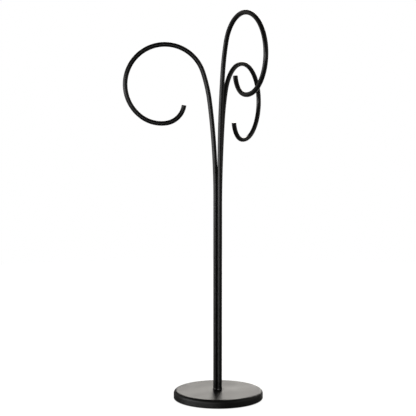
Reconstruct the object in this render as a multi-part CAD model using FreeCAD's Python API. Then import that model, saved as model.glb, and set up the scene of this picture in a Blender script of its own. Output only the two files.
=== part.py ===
"""A mug tree: three bent steel rods, welded side by side into a trunk and bolted to a round base.

Each rod rises from the base, leans out and curls over into an open loop that a mug's handle hangs in.
The three loops share one shape and stand at three heights. The origin is the centre of the face that
the tree stands on, +Z is up and the middle arm points along -X. Millimetres and degrees throughout.
"""

import FreeCAD, Part
import math
import os

V = FreeCAD.Vector
UP = V(0, 0, 1)
FULL_TURN = 360.0

# Rods ------------------------------------------------------------------------------------------
rod_diameter = 5.0
rod_gap = 0.04              # paint-thick gap left between neighbouring rods in the trunk
rod_end_chamfer = 0.35      # edge broken at both cut ends
middle_arm_straight = 208.0  # trunk length of the middle arm's rod before it starts to lean out
high_arm_lift = 30.6        # the high arm's loop stands this much above the middle one
low_arm_drop = 19.3         # the low arm's loop hangs this much below the middle one

# Bends after the straight length, in order: centre-line radius and angle turned.
lean_bend = (800.0, 7.2)
shoulder_bend = (170.0, 11.0)
loop_bend = (42.0, 215.0)
closing_bend = (36.0, 44.1)
tip_bend = (22.0, 75.1)
bends = [lean_bend, shoulder_bend, loop_bend, closing_bend, tip_bend]

# Where each rod stands in the trunk, and the vertical plane that its bends lie in.
middle_arm_seat, middle_arm_azimuth = 180.0, 180.0
high_arm_seat, high_arm_azimuth = 300.0, 297.7
low_arm_seat, low_arm_azimuth = 60.0, 62.3

# Base plate and pad ----------------------------------------------------------------------------
base_diameter = 96.0
base_thickness = 8.5
base_top_edge_radius = 3.5
base_bottom_edge_radius = 0.5
pad_rim = 4.0               # bare plate left round the pad
pad_thickness = 1.0
pad_recess = 0.4            # how deep the pad sits in the base's underside
pad_clearance = 0.3         # all round the pad, in its recess

# Weld stud that joins the trunk to the base ----------------------------------------------------
stud_head_margin = 0.2      # the head reaches this far beyond the weld round the rods' feet
stud_head_thickness = 1.2
stud_head_clearance = 0.2   # all round the head, in its pocket
thread_diameter = 5.0
thread_pitch = 0.8
thread_depth = 0.48
thread_clearance = 0.08     # radial play between the stud's and the nut's threads
stud_neck = 2.2             # plain length under the head
stud_hole_clearance = 0.25  # all round the stud, in the base
stud_end_clearance = 0.2    # from the stud's end to the pad

# Fasteners in the counterbore under the base ---------------------------------------------------
washer_diameter = 10.0
washer_thickness = 1.0
washer_clearance = 0.15     # all round the stud, in both washers
lock_washer_diameter = 9.6
lock_washer_thickness = 0.6
lock_tooth_count = 10
lock_tooth_depth = 1.1
lock_tooth_gap = 1.0
nut_across_flats = 8.0
nut_height = 2.7
nut_chamfer_share = 0.95    # diameter of the nut's flat face, as a share of its width across flats
nut_chamfer_angle = 30.0
nut_clearance = 0.1         # from the nut to the pad
socket_room = 3.4           # all round the nut's corners, for the wall of a thin socket

# Weld beads ------------------------------------------------------------------------------------
bead_radius = 1.3
bead_offset = 0.15          # from where two rods touch to the bead's inner side
upper_tack_rise = 31.0      # above the point where the low arm's rod starts to leave the trunk
lower_tack_height = 32.0    # above the base's top face
tack_length = 7.0
tack_valleys = [0.0, 120.0]  # the third valley is left clean
foot_weld_height = 1.6      # up the rods, all round the trunk's foot
foot_weld_width = 0.6       # out over the stud's head
foot_weld_lip = 0.1         # its thickness where it ends on the rods

# Sizes and places that follow from the ones above ----------------------------------------------
high_arm_straight = middle_arm_straight + high_arm_lift
low_arm_straight = middle_arm_straight - low_arm_drop
upper_tack_height = low_arm_straight + upper_tack_rise
middle_tack_height = (upper_tack_height + lower_tack_height) / 2
seat_radius = (rod_diameter + rod_gap) / math.sqrt(3)
valley_radius = seat_radius * math.cos(math.radians(60))
pad_diameter = base_diameter - 2 * pad_rim
stud_head_diameter = 2 * (seat_radius + rod_diameter / 2 + foot_weld_width + stud_head_margin)
stud_hole = thread_diameter + 2 * stud_hole_clearance
washer_bore = thread_diameter + 2 * washer_clearance
nut_across_corners = nut_across_flats / math.cos(math.radians(30))
counterbore_diameter = nut_across_corners + 2 * socket_room
base_bottom = pad_thickness - pad_recess
base_top = base_bottom + base_thickness
pocket_floor = base_top - stud_head_thickness
stud_end = pad_thickness + stud_end_clearance
nut_bottom = pad_thickness + nut_clearance
nut_top = nut_bottom + nut_height
lock_washer_top = nut_top + lock_washer_thickness
counterbore_top = lock_washer_top + washer_thickness


def polar(radius, angle, z=0.0):
    """The point at that radius and angle about the trunk's axis, at height z."""
    turn = math.radians(angle)
    return V(radius * math.cos(turn), radius * math.sin(turn), z)


def disc(diameter, bottom, top):
    """A round slab on the trunk's axis."""
    return Part.makeCylinder(diameter / 2, top - bottom, V(0, 0, bottom))


def turned(points):
    """A solid of revolution about the trunk's axis from (radius, height) points."""
    outline = Part.makePolygon([V(r, 0, z) for r, z in points + points[:1]])
    return Part.Face(outline).revolve(V(0, 0, 0), UP, FULL_TURN)


def circles_at(shape, z, radius):
    """The shape's circular edges of that radius in the plane at height z."""
    found = []
    for edge in shape.Edges:
        round_edge = edge.Curve.TypeId == "Part::GeomCircle"
        if round_edge and abs(edge.Curve.Radius - radius) < 1e-6 and abs(edge.Curve.Center.z - z) < 1e-6:
            found.append(edge)
    return found


def rod_path(straight, seat, azimuth):
    """The edges of a rod's centre line: up from its seat, then the bends, each tangent to the last."""
    outward = polar(1, azimuth)
    point = polar(seat_radius, seat, base_top)
    edges = [Part.LineSegment(point, point + UP * straight).toShape()]
    point = point + UP * straight
    heading = 90.0
    for radius, angle in bends:

        def spoke(at):
            """From the bend's centre to the rod where it heads at this angle above level."""
            return (UP * math.cos(math.radians(at)) - outward * math.sin(math.radians(at))) * radius

        centre = point - spoke(heading)
        middle = centre + spoke(heading - angle / 2)
        end = centre + spoke(heading - angle)
        edges.append(Part.Arc(point, middle, end).toShape())
        heading = heading - angle
        point = end
    return edges


def arm_rod(straight, seat, azimuth):
    """One bent rod, with the edges of its two cut ends broken."""
    edges = rod_path(straight, seat, azimuth)
    foot = edges[0].valueAt(edges[0].FirstParameter)
    profile = Part.Wire(Part.makeCircle(rod_diameter / 2, foot, UP))
    rod = Part.Wire(edges).makePipeShell([profile], True, False)
    tip = edges[-1].Vertexes[-1].Point
    rims = [edge for edge in rod.Edges for end in (foot, tip) if edge.CenterOfMass.isEqual(end, 1e-4)]
    return rod.makeChamfer(rod_end_chamfer, rims)


def base_plate():
    """The heavy round plate, with the stud's pocket above and its counterbore and the pad's recess below."""
    radius = base_diameter / 2
    plate = disc(base_diameter, base_bottom, base_top)
    plate = plate.makeFillet(base_top_edge_radius, circles_at(plate, base_top, radius))
    plate = plate.makeFillet(base_bottom_edge_radius, circles_at(plate, base_bottom, radius))
    plate = plate.cut(disc(stud_head_diameter + 2 * stud_head_clearance, pocket_floor, base_top))
    plate = plate.cut(disc(stud_hole, counterbore_top, pocket_floor))
    plate = plate.cut(disc(counterbore_diameter, base_bottom, counterbore_top))
    return plate.cut(disc(pad_diameter + 2 * pad_clearance, base_bottom, pad_thickness))


def base_pad():
    """The soft disc that the tree stands on. It hides the nut."""
    return disc(pad_diameter, 0, pad_thickness)


def thread_points(bottom, top, crest):
    """(radius, height) points up the flanks of ring threads, from bottom to top, with that crest radius."""
    points = []
    half = thread_pitch / 2
    steps = int((top - bottom) / half + 1e-6)
    for step in range(steps + 1):
        depth = 0 if step % 2 else thread_depth
        points.append((crest - depth, bottom + step * half))
    return points


def weld_stud():
    """A flat-headed stud: its head is welded under the rods, and its thread hangs through the base."""
    radius = thread_diameter / 2
    head_radius = stud_head_diameter / 2
    thread = thread_points(stud_end, pocket_floor - stud_neck, radius)
    outline = [(0, stud_end)] + thread + [(radius, thread[-1][1] + thread_pitch / 2), (radius, pocket_floor)]
    outline = outline + [(head_radius, pocket_floor), (head_radius, base_top), (0, base_top)]
    return turned(outline)


def flat_washer():
    """The plain washer against the top of the base's counterbore."""
    washer = disc(washer_diameter, lock_washer_top, counterbore_top)
    return washer.cut(disc(washer_bore, lock_washer_top, counterbore_top))


def lock_washer():
    """The externally toothed washer that keeps the nut from working loose."""
    washer = disc(lock_washer_diameter, nut_top, lock_washer_top)
    washer = washer.cut(disc(washer_bore, nut_top, lock_washer_top))
    corner = V(lock_washer_diameter / 2 - lock_tooth_depth, -lock_tooth_gap / 2, nut_top)
    for tooth in range(lock_tooth_count):
        slot = Part.makeBox(2 * lock_tooth_depth, lock_tooth_gap, lock_washer_thickness, corner)
        slot.rotate(V(0, 0, 0), UP, tooth * FULL_TURN / lock_tooth_count)
        washer = washer.cut(slot)
    return washer


def hex_nut():
    """A thin hexagon nut with both faces chamfered and ring threads that mesh with the stud's."""
    corner = nut_across_corners / 2
    face = nut_across_flats / 2 * nut_chamfer_share
    slope = (corner - face) * math.tan(math.radians(nut_chamfer_angle))
    hexagon = Part.makePolygon([polar(corner, 60 * side, nut_bottom) for side in range(7)])
    nut = Part.Face(hexagon).extrude(UP * nut_height)
    lower_half = [(0, nut_bottom), (face, nut_bottom), (corner, nut_bottom + slope)]
    upper_half = [(corner, nut_top - slope), (face, nut_top), (0, nut_top)]
    nut = nut.common(turned(lower_half + upper_half))
    crest = thread_diameter / 2 + thread_clearance
    thread = thread_points(stud_end - thread_pitch, nut_top + thread_pitch, crest)
    return nut.cut(turned([(0, thread[0][1])] + thread + [(0, thread[-1][1])]))


def capsule(angle, bottom, top):
    """A bead-sized upright capsule in the valley between two rods."""
    radius = valley_radius + bead_offset + bead_radius
    body = Part.makeCylinder(bead_radius, top - bottom, polar(radius, angle, bottom))
    for end in (bottom, top):
        body = body.fuse(Part.makeSphere(bead_radius, polar(radius, angle, end)))
    return body


def tack_welds(height, rods):
    """Short beads in the valleys between neighbouring rods, centred that far above the base."""
    middle = base_top + height
    reach = tack_length / 2 - bead_radius
    beads = [capsule(angle, middle - reach, middle + reach).cut(rods) for angle in tack_valleys]
    return Part.makeCompound([solid for bead in beads for solid in bead.Solids])


def foot_weld(rods):
    """The fillet weld that runs all round the rods' feet, on the stud's head."""
    wide = rod_diameter / 2 + foot_weld_width
    narrow = rod_diameter / 2 + foot_weld_lip
    feet = [polar(seat_radius, seat, base_top) for seat in (middle_arm_seat, high_arm_seat, low_arm_seat)]
    cones = [Part.makeCone(wide, narrow, foot_weld_height, foot) for foot in feet]
    unreached = disc(2 * valley_radius, base_top, base_top + foot_weld_height)
    return cones[0].fuse(cones[1:]).cut(rods + [unreached])


def build():
    """Every piece of the mug tree, by name."""
    middle = arm_rod(middle_arm_straight, middle_arm_seat, middle_arm_azimuth)
    high = arm_rod(high_arm_straight, high_arm_seat, high_arm_azimuth)
    low = arm_rod(low_arm_straight, low_arm_seat, low_arm_azimuth)
    rods = [middle, high, low]
    return {
        "middle_arm_rod": middle,
        "high_arm_rod": high,
        "low_arm_rod": low,
        "upper_tack_welds": tack_welds(upper_tack_height, rods),
        "middle_tack_welds": tack_welds(middle_tack_height, rods),
        "lower_tack_welds": tack_welds(lower_tack_height, rods),
        "foot_weld": foot_weld(rods),
        "weld_stud": weld_stud(),
        "base_plate": base_plate(),
        "flat_washer": flat_washer(),
        "lock_washer": lock_washer(),
        "hex_nut": hex_nut(),
        "base_pad": base_pad(),
    }


os.makedirs("parts", exist_ok=True)
for name, shape in build().items():
    shape.exportStep(f"parts/{name}.step")
    box = shape.optimalBoundingBox()
    print(f"{name}: {len(shape.Solids)} solids, valid {shape.isValid()}, {shape.Volume:.1f} mm3")
    print(f"    size {box.XLength:.2f} x {box.YLength:.2f} x {box.ZLength:.2f}, lowest point {box.ZMin:.2f}")
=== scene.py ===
# %% [markdown]
# # A mug tree in black powder coat
# The real thing is three bent steel rods, welded side by side into a trunk and bolted to a heavy round
# base. The engineering model of it is loaded first, as a frame that nothing here may move. The rods, the
# welds, the base and its pad are then made again as clean, smooth meshes in the same places, in metres.
# The stud, washers and nut keep the shapes that they come with. Every piece is given its finish.

# %% Load the frame
import bmesh
import bpy
import math
from mathutils import Matrix, Vector


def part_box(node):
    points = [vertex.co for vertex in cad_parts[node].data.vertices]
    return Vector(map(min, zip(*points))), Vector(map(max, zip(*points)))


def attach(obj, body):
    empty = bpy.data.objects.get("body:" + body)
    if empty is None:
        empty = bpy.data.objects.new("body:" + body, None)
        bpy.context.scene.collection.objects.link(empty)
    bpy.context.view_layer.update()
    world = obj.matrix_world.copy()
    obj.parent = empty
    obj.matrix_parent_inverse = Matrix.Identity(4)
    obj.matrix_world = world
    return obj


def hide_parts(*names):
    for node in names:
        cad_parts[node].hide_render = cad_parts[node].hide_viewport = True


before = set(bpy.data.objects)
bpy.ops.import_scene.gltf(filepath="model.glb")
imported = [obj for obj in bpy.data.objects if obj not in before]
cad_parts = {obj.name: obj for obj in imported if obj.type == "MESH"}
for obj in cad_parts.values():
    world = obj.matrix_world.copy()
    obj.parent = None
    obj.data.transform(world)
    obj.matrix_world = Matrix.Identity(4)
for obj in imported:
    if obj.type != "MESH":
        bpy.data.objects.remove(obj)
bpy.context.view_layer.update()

MM = 0.001
UP = Vector((0, 0, 1))
print("pieces in the frame:", ", ".join(sorted(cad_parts)))

# %% [markdown]
# ## Colours
# Blender mixes light in linear values, but people pick colours as sRGB hex. One function turns a hex
# colour into the four linear numbers that a shader socket wants.


# %% From hex to linear
def linear(hex_colour):
    """The linear RGBA values of an sRGB colour such as 1A1A1B."""
    channels = [int(hex_colour[i:i + 2], 16) / 255 for i in (0, 2, 4)]
    return [c / 12.92 if c <= 0.04045 else ((c + 0.055) / 1.055) ** 2.4 for c in channels] + [1.0]


print("mid grey 808080 is", round(linear("808080")[0], 3), "in linear light")

# %% [markdown]
# ## One function for nodes
# A material is a graph of nodes. This function adds one node, sets its properties and inputs, and links
# whatever is given as another node's output, so a whole finish can be read from top to bottom.


# %% Add a node
def add_node(tree, kind, settings=None, **inputs):
    """Adds a node. An input is named with underscores for spaces, or _3 for the socket at index 3."""
    node = tree.nodes.new(kind)
    for name, value in (settings or {}).items():
        setattr(node, name, value)
    for name, value in inputs.items():
        socket = node.inputs[int(name[1:])] if name[1:].isdigit() else node.inputs[name.replace("_", " ")]
        if isinstance(value, bpy.types.NodeSocket):
            tree.links.new(value, socket)
        else:
            socket.default_value = value
    return node


def new_material(name):
    """A material with an empty node tree. Returns the two."""
    material = bpy.data.materials.new(name)
    material.use_nodes = True
    material.node_tree.nodes.clear()
    return material, material.node_tree


def per_mm(size):
    """The texture scale that makes one cell of a pattern that many millimetres wide."""
    return 1 / (size * MM)


NOISE_LOW, NOISE_HIGH = 0.3, 0.7    # nearly all of a noise texture's values lie between these
print("a 2 mm pattern has a scale of", per_mm(2))

# %% [markdown]
# ## Black powder coat
# Powder coat is polyester dust that melts on the hot steel into one thick film. It levels less than wet
# paint, so a satin black one shows three things: a soft orange peel with cells about 2 mm across, a fine
# grain of a fifth of a millimetre that blurs its reflections, and slow drifts in gloss where the film is
# thicker or has been handled. The film is plastic, so it isn't metallic, and its IOR is about 1.5. Two
# Bump nodes in a row keep the peel and the grain at their own depths.

# %% The powder coat
PEEL_CELL = 2.2                # mm
GRAIN_CELL = 0.22              # mm
GRAIN_DEPTH = 0.0016           # mm
DRIFT_CELL = 28.0              # mm
GLOSSIER, DULLER = 0.03, 0.04  # how far the drifts take the roughness down and up


def powder_coat(name, deepest, palest, roughness, peel_depth):
    """A satin powder coat with orange peel, grain and slow drifts of colour and gloss."""
    material, tree = new_material(name)
    place = add_node(tree, "ShaderNodeTexCoord").outputs["Object"]
    drift = add_node(tree, "ShaderNodeTexNoise", Vector=place, Scale=per_mm(DRIFT_CELL), Detail=3.0)
    peel = add_node(tree, "ShaderNodeTexNoise", Vector=place, Scale=per_mm(PEEL_CELL), Detail=1.0)
    grain = add_node(tree, "ShaderNodeTexNoise", Vector=place, Scale=per_mm(GRAIN_CELL), Detail=2.0)
    gloss = add_node(tree, "ShaderNodeMapRange", Value=drift.outputs["Fac"], From_Min=NOISE_LOW,
                     From_Max=NOISE_HIGH, To_Min=roughness - GLOSSIER, To_Max=roughness + DULLER)
    tint = add_node(tree, "ShaderNodeMix", {"data_type": "RGBA"}, Factor=drift.outputs["Fac"],
                    _6=linear(deepest), _7=linear(palest))
    waves = add_node(tree, "ShaderNodeBump", Height=peel.outputs["Fac"], Strength=1.0,
                     Distance=peel_depth * MM)
    bumps = add_node(tree, "ShaderNodeBump", Height=grain.outputs["Fac"], Strength=1.0,
                     Distance=GRAIN_DEPTH * MM, Normal=waves.outputs["Normal"])
    coat = add_node(tree, "ShaderNodeBsdfPrincipled", Base_Color=tint.outputs["Result"], IOR=1.5,
                    Roughness=gloss.outputs["Result"], Normal=bumps.outputs["Normal"])
    add_node(tree, "ShaderNodeOutputMaterial", Surface=coat.outputs["BSDF"])
    return material


rod_coat = powder_coat("satin black powder coat on the rods", "070707", "0A0A0A", roughness=0.24,
                       peel_depth=0.008)
plate_coat = powder_coat("satin black powder coat on the base", "070707", "0B0B0B", roughness=0.45,
                         peel_depth=0.014)
print("made", rod_coat.name, "and", plate_coat.name)

# %% [markdown]
# ## Zinc plating
# The washers, the nut and the stud's thread are steel with a few microns of bright zinc. Zinc is a pale,
# slightly blue metal, and its passivated skin is cloudy in patches a few millimetres wide, which shows as
# changes in both tint and roughness. Being a real metal, it is fully metallic. The stud's flat head is
# welded under the rods before the tree is painted, and a cap keeps the powder off its thread. So the
# stud's finish is one material that is zinc below a line and powder coat above it.

# %% The zinc plating
CLOUD_CELL = 3.0                      # mm
SCUFF_CELL = 0.35                     # mm
SCUFF_DEPTH = 0.004                   # mm
ZINC_CLEAR, ZINC_CLOUDY = 0.24, 0.42  # roughness where the skin is thinnest and thickest
PAINT_EDGE = 0.05                     # mm, how sharply the paint ends
PAINT_ROUGHNESS = 0.46                # about the same as the base's coat


def zinc_plating(name, paint_line=None):
    """Bright zinc with a cloudy skin and fine scuffs, under black powder coat above the paint line."""
    material, tree = new_material(name)
    place = add_node(tree, "ShaderNodeTexCoord").outputs["Object"]
    cloud = add_node(tree, "ShaderNodeTexNoise", Vector=place, Scale=per_mm(CLOUD_CELL), Detail=4.0)
    scuff = add_node(tree, "ShaderNodeTexNoise", Vector=place, Scale=per_mm(SCUFF_CELL), Detail=3.0)
    colour = add_node(tree, "ShaderNodeMix", {"data_type": "RGBA"}, Factor=cloud.outputs["Fac"],
                      _6=linear("AEB4BA"), _7=linear("C9C8BF")).outputs["Result"]
    gloss = add_node(tree, "ShaderNodeMapRange", Value=cloud.outputs["Fac"], From_Min=NOISE_LOW,
                     From_Max=NOISE_HIGH, To_Min=ZINC_CLEAR, To_Max=ZINC_CLOUDY).outputs["Result"]
    bumps = add_node(tree, "ShaderNodeBump", Height=scuff.outputs["Fac"], Strength=1.0,
                     Distance=SCUFF_DEPTH * MM)
    metal = add_node(tree, "ShaderNodeBsdfPrincipled", Base_Color=colour, Metallic=1.0, Roughness=gloss,
                     Normal=bumps.outputs["Normal"])
    if paint_line is not None:
        height = add_node(tree, "ShaderNodeSeparateXYZ", Vector=place).outputs["Z"]
        bare = add_node(tree, "ShaderNodeMapRange", Value=height, From_Min=paint_line,
                        From_Max=paint_line + PAINT_EDGE * MM, To_Min=1.0, To_Max=0.0).outputs["Result"]
        painted = add_node(tree, "ShaderNodeMix", {"data_type": "RGBA"}, Factor=bare, _6=linear("080808"),
                           _7=colour)
        satin = add_node(tree, "ShaderNodeMix", {"data_type": "FLOAT"}, Factor=bare, A=PAINT_ROUGHNESS,
                         B=gloss)
        tree.links.new(painted.outputs["Result"], metal.inputs["Base Color"])
        tree.links.new(satin.outputs["Result"], metal.inputs["Roughness"])
        tree.links.new(bare, metal.inputs["Metallic"])
    add_node(tree, "ShaderNodeOutputMaterial", Surface=metal.outputs["BSDF"])
    return material


zinc = zinc_plating("bright zinc plating")
print("made", zinc.name)

# %% [markdown]
# ## Rubber sheet
# The pad is die-cut from a black rubber sheet that was cured against cloth, and the cloth leaves its
# weave in the face: a grid of shallow dimples about a millimetre apart. Rubber has no gloss to speak of,
# and a bloom of wax and dust makes it a soft charcoal rather than a deep black. Two wave textures, one
# across the other, press the weave in.

# %% The rubber
WEAVE_PITCH = 1.2                          # mm from thread to thread
WEAVE_DEPTH = 0.06                         # mm
BLOOM_CELL = 9.0                           # mm
RUBBER_CLEAN, RUBBER_BLOOMED = 0.68, 0.86  # roughness where the bloom is thinnest and thickest


def cloth_faced_rubber():
    """Matt black rubber with the print of a cloth in it and a faint grey bloom."""
    material, tree = new_material("cloth-finish black rubber")
    place = add_node(tree, "ShaderNodeTexCoord").outputs["Object"]
    # A wave texture at scale 1 repeats every pi / 10 of a unit, about 0.314.
    scale = per_mm(WEAVE_PITCH) * math.pi / 10
    warp = add_node(tree, "ShaderNodeTexWave", {"bands_direction": "X"}, Vector=place, Scale=scale)
    weft = add_node(tree, "ShaderNodeTexWave", {"bands_direction": "Y"}, Vector=place, Scale=scale)
    weave = add_node(tree, "ShaderNodeMath", {"operation": "MULTIPLY"}, _0=warp.outputs["Fac"],
                     _1=weft.outputs["Fac"])
    bloom = add_node(tree, "ShaderNodeTexNoise", Vector=place, Scale=per_mm(BLOOM_CELL), Detail=5.0)
    shade = add_node(tree, "ShaderNodeMix", {"data_type": "RGBA"}, Factor=bloom.outputs["Fac"],
                     _6=linear("121212"), _7=linear("1F1F20"))
    gloss = add_node(tree, "ShaderNodeMapRange", Value=bloom.outputs["Fac"], From_Min=NOISE_LOW,
                     From_Max=NOISE_HIGH, To_Min=RUBBER_CLEAN, To_Max=RUBBER_BLOOMED)
    bumps = add_node(tree, "ShaderNodeBump", Height=weave.outputs["Value"], Strength=1.0,
                     Distance=WEAVE_DEPTH * MM)
    rubber = add_node(tree, "ShaderNodeBsdfPrincipled", Base_Color=shade.outputs["Result"], IOR=1.52,
                      Roughness=gloss.outputs["Result"], Normal=bumps.outputs["Normal"])
    add_node(tree, "ShaderNodeOutputMaterial", Surface=rubber.outputs["BSDF"])
    return material


rubber = cloth_faced_rubber()
print("made", rubber.name)

# %% [markdown]
# ## From bmesh to a piece
# Every piece ends the same way: its faces are smoothed, sharp corners are marked so that they stay crisp,
# the mesh becomes an object at the origin, it is tied to the body, the engineering node that it stands
# for is hidden, and it gets the finish that it is given.

# %% Finish a piece
SHARP_ANGLE = 35  # degrees


def make_piece(name, bm, material, node):
    """Turns a bmesh into a piece that rides on the tree's one body and stands for that node."""
    bmesh.ops.recalc_face_normals(bm, faces=bm.faces)
    for face in bm.faces:
        face.smooth = True
    for edge in bm.edges:
        edge.smooth = edge.calc_face_angle(0) < math.radians(SHARP_ANGLE)
    mesh = bpy.data.meshes.new(name)
    bm.to_mesh(mesh)
    bm.free()
    mesh.materials.append(material)
    piece = bpy.data.objects.new(name, mesh)
    bpy.context.scene.collection.objects.link(piece)
    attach(piece, "root")
    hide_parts(node)
    print(f"{name}: {len(mesh.vertices)} vertices, {len(mesh.polygons)} faces")


def polar(radius, degrees, z=0.0):
    """The point at that distance and direction from the trunk's axis."""
    turn = math.radians(degrees)
    return Vector((radius * math.cos(turn), radius * math.sin(turn), z))


print("edges that turn by", SHARP_ANGLE, "degrees or more stay crisp")

# %% [markdown]
# ## Bends
# A rod is drawn through bending tools one after the other, so its centre line is a straight run and then
# arcs, each tangent to the last: a long lean away from the trunk, a shoulder, the big loop, and two tighter
# arcs that close it. These are the bender's own numbers: the radius at the rod's centre and the angle.

# %% The bender's numbers
ROD_RADIUS = 2.5 * MM
ROD_GAP = 0.04 * MM
BENDS = [(800 * MM, 7.2), (170 * MM, 11.0), (42 * MM, 215.0), (36 * MM, 44.1), (22 * MM, 75.1)]
# Where each rod stands in the trunk and which way it leans, in degrees about the trunk's axis.
ARMS = {"middle_arm_rod": (180.0, 180.0), "high_arm_rod": (300.0, 297.7), "low_arm_rod": (60.0, 62.3)}
SEAT_RADIUS = (2 * ROD_RADIUS + ROD_GAP) / math.sqrt(3)  # puts three rods side by side, with the gap
plate_low, plate_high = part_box("base_plate")
PLATE_TOP = plate_high.z


def rise_of_bends():
    """How far the highest point of a rod's centre line lies above the end of its straight run."""
    height, highest, heading = 0.0, 0.0, 90.0
    for radius, angle in BENDS:
        here = math.cos(math.radians(heading))
        if heading > 0:
            crest = max(heading - angle, 0.0)
            highest = max(highest, height + radius * (math.cos(math.radians(crest)) - here))
        heading -= angle
        height += radius * (math.cos(math.radians(heading)) - here)
    return highest


print(f"the loops' crests are {rise_of_bends() / MM:.1f} mm above the straight runs")

# %% [markdown]
# ## A rod
# One ring of vertices is enough to start with. It is extruded up the trunk, and then each bend is a spin
# of the last ring about the bend's own centre, so every ring stays square to the centre line and the
# surface is exactly as round as bent bar. A spin is divided so finely that its chords stay within a few
# microns of the true arc. A curve with a round bevel would be quicker to write, but its rings drift off
# the arcs. Both ends are capped, and their rims are rounded as a deburring wheel leaves them.

# %% Spin a rod
ROD_SIDES = 64
CHORD_ERROR = 0.005 * MM
RIM_ROUND = 0.35 * MM
RIM_SUPPORT = 0.25 * MM


def edges_of(geometry):
    """The edges among the vertices, edges and faces that an operator returns."""
    return [item for item in geometry if isinstance(item, bmesh.types.BMEdge)]


def corners_of(ring):
    """The vertices of a ring of edges, once each and always in the same order."""
    return list(dict.fromkeys(v for edge in ring for v in edge.verts))


def extrude_ring(bm, ring, shift):
    """Extrudes a ring of edges by a vector and returns the new ring."""
    grown = edges_of(bmesh.ops.extrude_edge_only(bm, edges=ring)["geom"])
    bmesh.ops.translate(bm, verts=corners_of(grown), vec=shift)
    return grown


def close_end(bm, ring):
    """Caps a ring, keeps the middle of the cap flat with an inset and rounds its rim."""
    cap = bmesh.ops.contextual_create(bm, geom=ring)["faces"]
    bmesh.ops.inset_region(bm, faces=cap, thickness=RIM_ROUND + RIM_SUPPORT)
    bmesh.ops.bevel(bm, geom=ring, offset=RIM_ROUND, segments=4, profile=0.5, affect="EDGES",
                    material=-1)


def bent_rod(foot, outward, straight):
    """A rod that rises from its foot and then bends towards that side."""
    bm = bmesh.new()
    bmesh.ops.create_circle(bm, segments=ROD_SIDES, radius=ROD_RADIUS, matrix=Matrix.Translation(foot))
    first = list(bm.edges)
    ring = extrude_ring(bm, first, UP * (RIM_ROUND + RIM_SUPPORT))
    ring = extrude_ring(bm, ring, UP * (straight - RIM_ROUND - RIM_SUPPORT))
    axis = UP.cross(outward)
    point, heading = foot + UP * straight, UP.copy()
    for radius, angle in BENDS:
        centre = point + axis.cross(heading) * radius
        steps = math.ceil(math.radians(angle) / (2 * math.acos(1 - CHORD_ERROR / radius)))
        spun = bmesh.ops.spin(bm, geom=corners_of(ring) + ring, cent=centre, axis=axis,
                              angle=math.radians(angle), steps=steps, use_merge=False,
                              use_duplicate=False)
        ring = edges_of(spun["geom_last"])
        turn = Matrix.Rotation(math.radians(angle), 3, axis)
        point, heading = centre + turn @ (point - centre), turn @ heading
    close_end(bm, ring)
    close_end(bm, first)
    return bm


for node, (seat, azimuth) in ARMS.items():
    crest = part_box(node)[1].z - ROD_RADIUS
    straight = crest - PLATE_TOP - rise_of_bends()
    rod = bent_rod(polar(SEAT_RADIUS, seat, PLATE_TOP), polar(1, azimuth), straight)
    make_piece(node + "_smooth", rod, rod_coat, node)
    print(f"    straight for {straight / MM:.1f} mm before it leans out")

# %% [markdown]
# ## Base plate
# The plate is turned on a lathe from a slice of steel bar, so it is made the same way here: the corners
# of its section are spun round the axis. A vertex sits a little way from each corner that gets rounded,
# because the extra ring keeps the flat beside it flat once the faces are shaded smooth. The section has a
# pocket for the stud's head in its top. Below, it has a hole and a counterbore for the nut and washers,
# and a shallow recess for the pad.

# %% Turn the base plate
PLATE_SIDES = 256
TOP_ROUND = 3.5 * MM
BOTTOM_ROUND = 0.5 * MM
DEBURR = 0.15 * MM      # the small bevel on the recess and the counterbore; the pocket has half of it
SUPPORT = 0.4 * MM      # from a rounded corner's arc to the ring of vertices that guards the flat
HEAD_CLEARANCE = 0.2 * MM
HEAD_THICKNESS = 1.2 * MM
HOLE_RADIUS = 2.75 * MM
SOCKET_ROOM = 3.4 * MM
PAD_CLEARANCE = 0.3 * MM
CLOSE = 0.001 * MM


def turned(section, sides):
    """Spins a closed section of (radius, height) corners about the trunk's axis."""
    bm = bmesh.new()
    corners = [bm.verts.new((radius, 0, height)) for radius, height in section]
    sides_of_section = [bm.edges.new(pair) for pair in zip(corners, corners[1:] + corners[:1])]
    bmesh.ops.spin(bm, geom=corners + sides_of_section, cent=(0, 0, 0), axis=UP, angle=2 * math.pi,
                   steps=sides, use_merge=True, use_duplicate=False)
    return bm


def round_rim(bm, radius, height, width, segments):
    """Rounds the circular edge at that radius and height."""
    rim = [edge for edge in bm.edges if all(
        abs(v.co.xy.length - radius) < CLOSE and abs(v.co.z - height) < CLOSE for v in edge.verts)]
    bmesh.ops.bevel(bm, geom=rim, offset=width, segments=segments, profile=0.5, affect="EDGES",
                    material=-1)


plate_radius = plate_high.x
plate_bottom = plate_low.z
head_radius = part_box("weld_stud")[1].x + HEAD_CLEARANCE
pocket_floor = PLATE_TOP - HEAD_THICKNESS
bore_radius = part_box("hex_nut")[1].x + SOCKET_ROOM
bore_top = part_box("flat_washer")[1].z
pad_low, pad_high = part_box("base_pad")
recess_radius = pad_high.x + PAD_CLEARANCE

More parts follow.
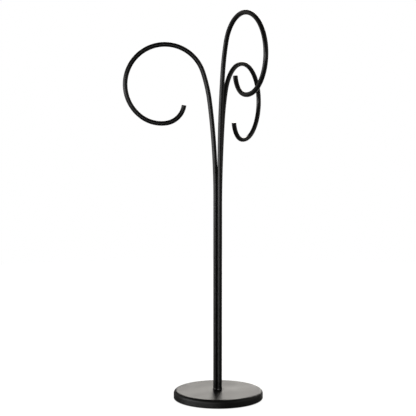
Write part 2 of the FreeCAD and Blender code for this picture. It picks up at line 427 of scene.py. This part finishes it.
section = [
    (head_radius, PLATE_TOP), (head_radius + SUPPORT, PLATE_TOP),
    (plate_radius - TOP_ROUND - SUPPORT, PLATE_TOP), (plate_radius, PLATE_TOP),
    (plate_radius, PLATE_TOP - TOP_ROUND - SUPPORT),
    (plate_radius, plate_bottom + BOTTOM_ROUND + SUPPORT),
    (plate_radius, plate_bottom), (plate_radius - BOTTOM_ROUND - SUPPORT, plate_bottom),
    (recess_radius, plate_bottom), (recess_radius, pad_high.z),
    (bore_radius, pad_high.z), (bore_radius, bore_top),
    (HOLE_RADIUS, bore_top), (HOLE_RADIUS, pocket_floor), (head_radius, pocket_floor),
]
plate = turned(section, PLATE_SIDES)
round_rim(plate, plate_radius, PLATE_TOP, TOP_ROUND, 14)
round_rim(plate, plate_radius, plate_bottom, BOTTOM_ROUND, 5)
round_rim(plate, head_radius, PLATE_TOP, DEBURR / 2, 2)
round_rim(plate, recess_radius, plate_bottom, DEBURR, 3)
round_rim(plate, bore_radius, pad_high.z, DEBURR, 3)
make_piece("base_plate_turned", plate, plate_coat, "base_plate")

# %% [markdown]
# ## Pad
# A steel-rule die stamps the pad out of flat sheet, and the rubber's cut edge pulls in a little at both
# faces. A filled circle extruded up by the sheet's thickness is the whole shape. Two insets give the rims
# a ring to bend against before they are rounded.

# %% Stamp the pad
PAD_ROUND = 0.12 * MM

pad = bmesh.new()
bmesh.ops.create_circle(pad, cap_ends=True, segments=PLATE_SIDES, radius=pad_high.x,
                        matrix=Matrix.Translation((0, 0, pad_low.z)))
risen = bmesh.ops.extrude_face_region(pad, geom=list(pad.faces), use_keep_orig=True)["geom"]
bmesh.ops.translate(pad, verts=[v for v in risen if isinstance(v, bmesh.types.BMVert)],
                    vec=UP * (pad_high.z - pad_low.z))
for face in [face for face in pad.faces if len(face.verts) > 4]:
    bmesh.ops.inset_region(pad, faces=[face], thickness=PAD_ROUND + SUPPORT)
for height in (pad_low.z, pad_high.z):
    round_rim(pad, pad_high.x, height, PAD_ROUND, 3)
make_piece("base_pad_stamped", pad, rubber, "base_pad")

# %% [markdown]
# ## Welds
# A weld bead is a row of puddles that froze one after the other, each lapping the last, and that is how
# it is made here: a row of squashed balls. A voxel remesh melts them into one skin, and a few rounds of
# smoothing stand for the film of paint that fills the ripples between them. Sculpting one long bead and
# carving ripples into it would look the same and need many more steps.

# %% Melt puddles together
PUDDLE_PITCH = 0.85 * MM
SKIN_VOXEL = 0.1 * MM
PAINT_ROUNDS = 3


def puddle(bm, place, sizes, degrees):
    """A squashed ball: its half sizes point outwards, sideways and up once it is turned about +Z."""
    turn = Matrix.Rotation(math.radians(degrees), 4, "Z")
    shape = Matrix.Translation(place) @ turn @ Matrix.Diagonal((*sizes, 1.0))
    bmesh.ops.create_icosphere(bm, subdivisions=3, radius=1.0, matrix=shape)


def melted(bm):
    """The puddles as one skin, softened by paint."""
    mesh = bpy.data.meshes.new("puddles")
    bm.to_mesh(mesh)
    bm.free()
    lumps = bpy.data.objects.new("puddles", mesh)
    bpy.context.scene.collection.objects.link(lumps)
    skin = lumps.modifiers.new("skin", "REMESH")
    skin.mode = "VOXEL"
    skin.voxel_size = SKIN_VOXEL
    finished = lumps.evaluated_get(bpy.context.evaluated_depsgraph_get())
    joined = bmesh.new()
    joined.from_mesh(finished.to_mesh())
    bpy.data.objects.remove(lumps)
    bpy.data.meshes.remove(mesh)
    for _ in range(PAINT_ROUNDS):
        bmesh.ops.smooth_vert(joined, verts=joined.verts, factor=0.5, use_axis_x=True, use_axis_y=True,
                              use_axis_z=True)
    return joined


print(f"a puddle every {PUDDLE_PITCH / MM:.2f} mm, melted with voxels of {SKIN_VOXEL / MM:.2f} mm")

# %% [markdown]
# ### Tack welds
# Three pairs of short beads hold the rods together: one low on the trunk, one half-way up and one where
# the rods begin to part. Each bead lies in the valley between two rods. The welder strikes the arc on the
# near rod's face and carries it round into the valley, so a small lump and a thin wash of metal lead to
# the first bead.

# %% Lay the tack welds
TACK_VALLEYS = [0.0, 120.0]  # degrees about the trunk's axis
TACK_HALF_SIZES = (1.0 * MM, 1.35 * MM, 0.8 * MM)
TACK_RADIUS = SEAT_RADIUS / 2 + 1.45 * MM  # from the trunk's axis, well outside where two rods touch
END_TAPER = 0.82             # the size of a bead's first and last puddles, the others being 1
NEAR_ROD = "high_arm_rod"
STRIKE_AT = -64.0            # degrees round the near rod, as the next two
WASH_FROM, WASH_TO = 50.0, -52.0
WASH_STEPS = 10
STRIKE_HALF_SIZES = (0.45 * MM, 0.65 * MM, 0.55 * MM)
WASH_HALF_SIZES = (0.16 * MM, 0.55 * MM, 0.35 * MM)


def tack_welds(node):
    """Both beads of a pair, and the lump and the wash that lead to the first."""
    bm = bmesh.new()
    low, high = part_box(node)
    end = TACK_HALF_SIZES[2]
    run = high.z - low.z - 2 * end
    count = round(run / PUDDLE_PITCH) + 1
    for valley in TACK_VALLEYS:
        for step in range(count):
            taper = END_TAPER if step in (0, count - 1) else 1.0
            place = polar(TACK_RADIUS, valley, low.z + end + run * step / (count - 1))
            puddle(bm, place, [size * taper for size in TACK_HALF_SIZES], valley)
    near_rod = polar(SEAT_RADIUS, ARMS[NEAR_ROD][0], (low.z + high.z) / 2 + end)
    for step in range(WASH_STEPS):
        angle = WASH_FROM + (WASH_TO - WASH_FROM) * step / (WASH_STEPS - 1)
        puddle(bm, near_rod + polar(ROD_RADIUS, angle), WASH_HALF_SIZES, angle)
    puddle(bm, near_rod + polar(ROD_RADIUS, STRIKE_AT), STRIKE_HALF_SIZES, STRIKE_AT)
    return melted(bm)


for node in ("upper_tack_welds", "middle_tack_welds", "lower_tack_welds"):
    make_piece(node + "_rippled", tack_welds(node), rod_coat, node)

# %% [markdown]
# ### Foot weld
# One slim bead runs round all three rods where they stand on the stud's head. It swells gently towards
# the plate and tucks under at its toe, so it draws a thin light line above a dark one. A section of it is
# spun about each rod, puddles give it ripples, and all of it is melted together.

# %% Lay the foot weld
# The bead's section, in mm from the rod's axis and above the plate.
FOOT_SECTION = [(2.2, 2.0), (2.56, 1.95), (2.78, 0.75), (2.74, 0.35), (2.6, 0.02), (2.2, 0.02)]
FOOT_ARC = ROD_RADIUS + 0.02 * MM
FOOT_HALF_SIZES = (0.30 * MM, 0.60 * MM, 0.55 * MM)
FOOT_LIFT = 0.80 * MM
NEXT_ROD = 150.0  # degrees from a rod's outward side to the rods beside it

foot_weld = bmesh.new()
# Puddles would sink into the next rod over this angle, so each row of them stops short of it.
hidden = math.degrees(math.acos((ROD_RADIUS + ROD_GAP / 2) / FOOT_ARC))
half_sweep = NEXT_ROD - hidden
puddles = round(math.radians(2 * half_sweep) * FOOT_ARC / PUDDLE_PITCH) + 1
for seat, _ in ARMS.values():
    foot = polar(SEAT_RADIUS, seat, PLATE_TOP)
    corners = [foot_weld.verts.new(foot + Vector((out * MM, 0, up * MM))) for out, up in FOOT_SECTION]
    outline = [foot_weld.edges.new(pair) for pair in zip(corners, corners[1:] + corners[:1])]
    bmesh.ops.spin(foot_weld, geom=corners + outline, cent=foot, axis=UP, angle=2 * math.pi,
                   steps=ROD_SIDES, use_merge=True, use_duplicate=False)
    for step in range(puddles):
        angle = seat - half_sweep + 2 * half_sweep * step / (puddles - 1)
        puddle(foot_weld, foot + polar(FOOT_ARC, angle, FOOT_LIFT), FOOT_HALF_SIZES, angle)
bmesh.ops.recalc_face_normals(foot_weld, faces=foot_weld.faces)
make_piece("foot_weld_rippled", melted(foot_weld), rod_coat, "foot_weld")

# %% [markdown]
# ## Stud, washers and nut
# These small turned and stamped pieces already have their real shapes in the engineering model, with the
# threads, the chamfers and the lock washer's split. So they stay as they are and only get their finish.

# %% Plate the fasteners
for node in ("flat_washer", "lock_washer", "hex_nut"):
    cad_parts[node].data.materials[0] = zinc
half_painted = zinc_plating("zinc-plated thread with a painted head", pocket_floor)
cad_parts["weld_stud"].data.materials[0] = half_painted
print("plated the stud, two washers and the nut")

# %% [markdown]
# ## Floor
# The tree stands on a round table of white acrylic that is lit from below, so that it stays white and
# keeps only a hint of shadow. A black satin object mirrors whatever is around it, and a glowing table
# would turn its lower faces grey. So the Light Path node shows the bright table to the camera only, and a
# plain glossy one to the tree's own reflections. The glow is turned off under the base and fades out just
# inside its edge: a painted shadow that keeps the line where the base meets the table dark.

# %% The floor
FLOOR_RADIUS = 1.1
FLOOR_SIDES = 96
FLOOR_DROP = 0.05 * MM   # keeps the floor's face clear of the pad's
FLOOR_GLOW = 0.97        # the light from below that keeps the table white to the camera
# The glow fades out over this width inside the base's edge, which paints a shadow under the base's rim.
PAINTED_SHADOW_WIDTH = 2.0 * MM     # how far under the base's edge the glow fades away


def white_acrylic():
    """White and glowing to the camera, with a painted shadow where the glow stops under the base; plain and
    glossy to everything else.
    """
    material, tree = new_material("white acrylic table")
    board = add_node(tree, "ShaderNodeBsdfDiffuse", Color=linear("A0A09F"))
    place = add_node(tree, "ShaderNodeTexCoord").outputs["Object"]
    reach = add_node(tree, "ShaderNodeVectorMath", {"operation": "LENGTH"}, _0=place).outputs["Value"]
    # Painted shadow: the glow is zero under the base and rises to full strength at its edge.
    glow_with_painted_shadow_under_base = add_node(tree, "ShaderNodeMapRange", Value=reach, From_Min=plate_radius - PAINTED_SHADOW_WIDTH,
                     From_Max=plate_radius, To_Min=0.0, To_Max=FLOOR_GLOW).outputs["Result"]
    glow = add_node(tree, "ShaderNodeEmission", Color=linear("FFFFFF"), Strength=glow_with_painted_shadow_under_base)
    lit = add_node(tree, "ShaderNodeAddShader", _0=board.outputs["BSDF"], _1=glow.outputs["Emission"])
    plain = add_node(tree, "ShaderNodeBsdfPrincipled", Base_Color=linear("909090"), Roughness=0.25,
                     IOR=1.4)
    seen = add_node(tree, "ShaderNodeLightPath").outputs["Is Camera Ray"]
    mixed = add_node(tree, "ShaderNodeMixShader", _0=seen, _1=plain.outputs["BSDF"],
                     _2=lit.outputs["Shader"])
    add_node(tree, "ShaderNodeOutputMaterial", Surface=mixed.outputs["Shader"])
    return material


table = bmesh.new()
bmesh.ops.create_circle(table, cap_ends=True, segments=FLOOR_SIDES, radius=FLOOR_RADIUS,
                        matrix=Matrix.Translation(-UP * FLOOR_DROP))
floor_mesh = bpy.data.meshes.new("floor")
table.to_mesh(floor_mesh)
table.free()
floor_mesh.materials.append(white_acrylic())
floor = bpy.data.objects.new("floor", floor_mesh)
bpy.context.scene.collection.objects.link(floor)
print("floor radius, m:", FLOOR_RADIUS)

# %% [markdown]
# ## Light
# Black satin shows its form only through what it mirrors. A bright patch of wall behind the tree and a
# little above it is what the base's top mirrors at a low angle. It stays off the horizon, because the
# rods' edges mirror that and would look thin. The room is otherwise dim, with faint walls at its right
# and left. All three are soft patches in the world's own light, each with an edge that fades.

# %% The walls
ROOM_LIGHT = 0.07
# Strength, direction, and the cosines of the angles from it at which the light starts and is full.
BACK_WALL = (4.4, (0.20, 0.92, 0.36), 0.94, 0.975)
RIGHT_WALL = (0.30, (0.95, -0.15, 0.10), 0.50, 0.92)
LEFT_WALL = (0.20, (-0.83, 0.45, 0.0), 0.60, 0.92)
WARM_WHITE = "FFFBF5"


def studio_world():
    """A dim room with a bright wall behind the tree and faint ones at its right and left."""
    world = bpy.data.worlds.new("studio")
    bpy.context.scene.world = world
    world.use_nodes = True
    tree = world.node_tree
    tree.nodes.clear()
    direction = add_node(tree, "ShaderNodeTexCoord").outputs["Generated"]
    total = ROOM_LIGHT
    for strength, towards, start, full in (BACK_WALL, RIGHT_WALL, LEFT_WALL):
        facing = add_node(tree, "ShaderNodeVectorMath", {"operation": "DOT_PRODUCT"}, _0=direction,
                          _1=Vector(towards).normalized())
        glow = add_node(tree, "ShaderNodeMapRange", {"interpolation_type": "SMOOTHSTEP"},
                        Value=facing.outputs["Value"], From_Min=start, From_Max=full, To_Min=0.0,
                        To_Max=strength)
        total = add_node(tree, "ShaderNodeMath", {"operation": "ADD"}, _0=total,
                         _1=glow.outputs["Result"]).outputs["Value"]
    seen = add_node(tree, "ShaderNodeLightPath").outputs["Is Camera Ray"]
    shown = add_node(tree, "ShaderNodeMix", {"data_type": "FLOAT"}, _0=seen, _2=total, _3=1.0)
    tone = add_node(tree, "ShaderNodeMix", {"data_type": "RGBA"}, Factor=seen, _6=linear(WARM_WHITE),
                    _7=linear("FFFFFF"))
    light = add_node(tree, "ShaderNodeBackground", Color=tone.outputs["Result"],
                     Strength=shown.outputs["Result"])
    add_node(tree, "ShaderNodeOutputWorld", Surface=light.outputs["Background"])


studio_world()
print("the wall behind is", round(BACK_WALL[0] / ROOM_LIGHT), "times as bright as the room")

# %% [markdown]
# ### Softboxes
# Two long, low softboxes draw the soft lines down the rods. One stands in front on the left and one at
# the left, and each faces the trunk's axis. Patches in the world's light could draw the lines too, but an
# area light stands at a real distance, so its reflection changes along the rods as it does in a studio.


# %% The softboxes
def softbox(name, place, width, height, brightness):
    """A rectangular diffuser. Its power is worked out from how bright its face should look."""
    lamp = bpy.data.lights.new(name, "AREA")
    lamp.shape = "RECTANGLE"
    lamp.size = width
    lamp.size_y = height
    lamp.energy = brightness * math.pi * width * height
    box = bpy.data.objects.new(name, lamp)
    box.location = place
    box.rotation_euler = Vector((-place[0], -place[1], 0)).to_track_quat("-Z", "Y").to_euler()
    box.visible_camera = False
    bpy.context.scene.collection.objects.link(box)


softbox("front softbox", (-1.04, -2.05, 0.19), width=2.0, height=0.40, brightness=3.0)
softbox("left softbox", (-1.50, -0.45, 0.33), width=1.3, height=0.66, brightness=2.8)

# %% [markdown]
# ## Camera
# The tree is seen from straight in front, from about four fifths of its height and looking a little down.
# The camera stands far enough away for the trunk to look parallel-sided, and a long lens frames the tree.

# %% The camera
SENSOR, LENS = 36.0, 110.25  # mm
LOOK_DOWN = 5.47             # degrees
CAMERA_PLACE = Vector((-11.04 * MM, -1347 * MM, PLATE_TOP + 325.4 * MM))

camera = bpy.data.cameras.new("camera")
camera.sensor_width = SENSOR
camera.lens = LENS
camera_object = bpy.data.objects.new("camera", camera)
camera_object.location = CAMERA_PLACE
camera_object.rotation_euler = (math.radians(90 - LOOK_DOWN), 0, 0)
bpy.context.scene.collection.objects.link(camera_object)
bpy.context.scene.camera = camera_object
bpy.context.scene.view_settings.view_transform = "Standard"
print("camera at", [round(value, 3) for value in camera_object.location])
